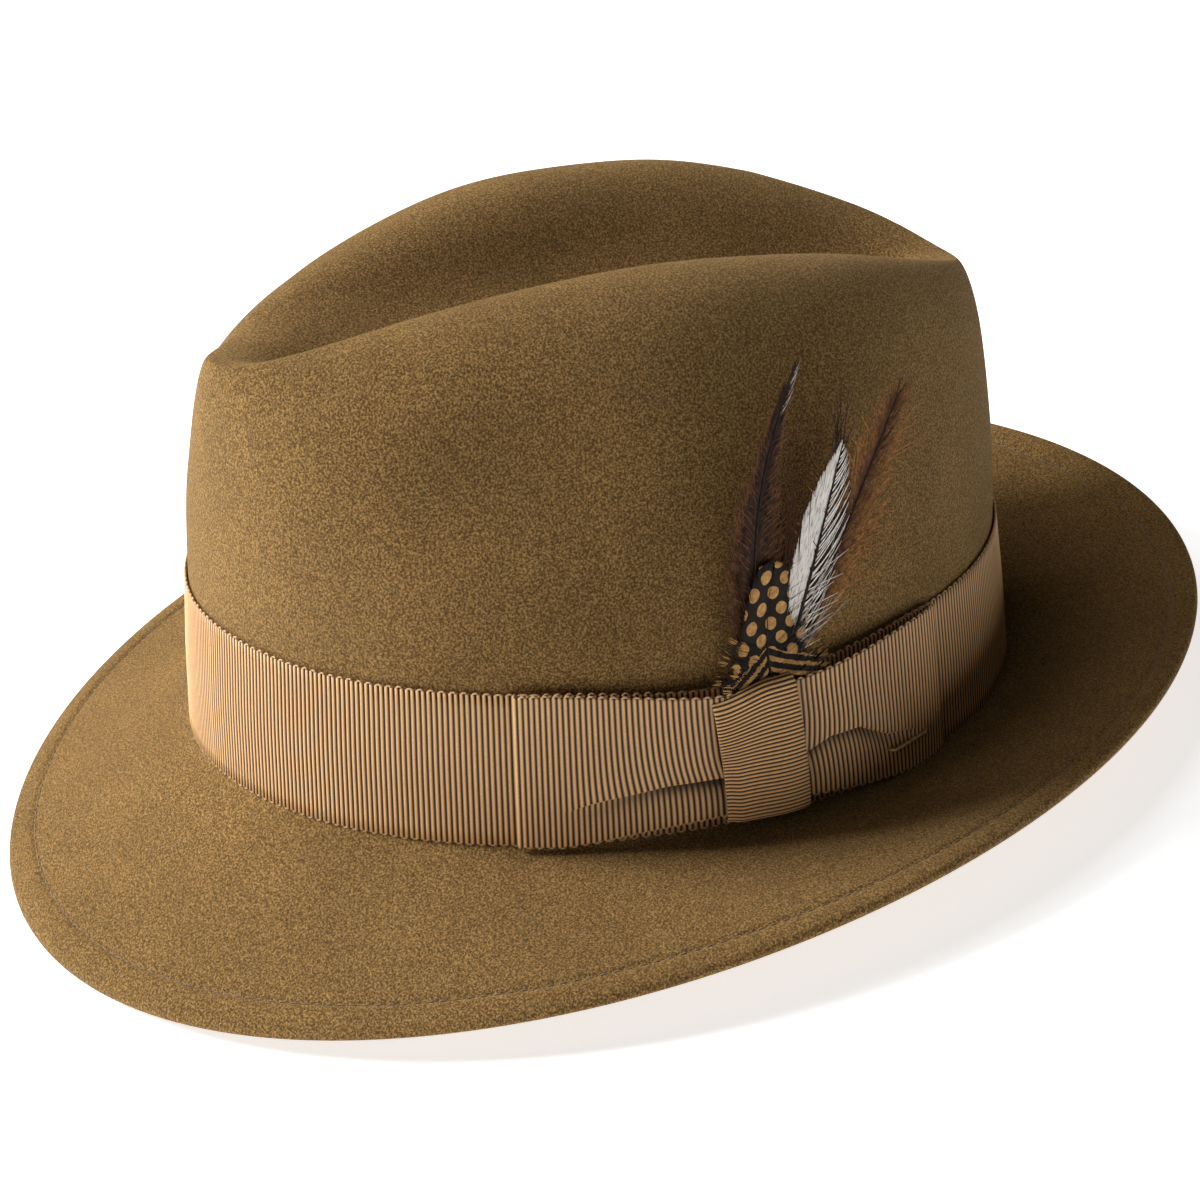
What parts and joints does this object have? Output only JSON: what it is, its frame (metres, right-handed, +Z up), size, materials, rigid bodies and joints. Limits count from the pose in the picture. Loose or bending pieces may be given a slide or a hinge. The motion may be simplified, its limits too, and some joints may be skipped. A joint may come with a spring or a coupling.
{
  "type": "fedora hat",
  "caption": "Brown felt fedora with a teardrop crown, a snap brim with a stitched edge, a tan grosgrain band with a flat bow, and a feather mount behind the knot.",
  "frame": {"origin": "the middle of the footprint, on the table that the hat stands on", "axes": "+Z up, +X to the wearer's left, +Y to the back, so the front of the hat faces -Y"},
  "size_m": [0.272, 0.313, 0.1404],
  "materials": {
    "felt": "brown wool felt, short soft nap",
    "welt_thread": "fine sewing thread",
    "ribbon": "tan grosgrain, fine cross ribs",
    "brass": "polished wire",
    "binding": "dark thread over quills",
    "rust_feather": "rust brown hackle barbs",
    "brown_feather": "dark purple brown hackle barbs",
    "white_feather": "white and grey barbs, dark shaft",
    "spotted_feather": "black vane with tan dots",
    "satin": "satin lining",
    "sweat_leather": "smooth leather",
    "reed": "covered reed",
    "sweat_thread": "sewing thread",
    "bow_ribbon": "narrow satin ribbon",
    "label": "blank woven label"
  },
  "bodies": {
    "hat": {"felt_body": "felt", "welt_stitching": "welt_thread", "hatband": "ribbon", "bow_front_loop": "ribbon", "bow_rear_loop": "ribbon", "bow_knot": "ribbon", "brass_pin": "brass", "lining_side": "satin", "lining_tip": "satin", "sweatband": "sweat_leather", "sweatband_reed": "reed", "sweatband_stitching": "sweat_thread", "sweatband_bow": "bow_ribbon", "size_label": "label"},
    "feather_mount": {"feather_binding": "binding", "rust_hackle": "rust_feather", "brown_hackle": "brown_feather", "white_feather": "white_feather", "spotted_feather": "spotted_feather"}
  },
  "joints": [
    {"name": "feather_pull", "type": "slide", "parent": "hat", "child": "feather_mount", "axis": [0, 0.1374, 0.9905], "range_m": [0, 0.03]}
  ]
}
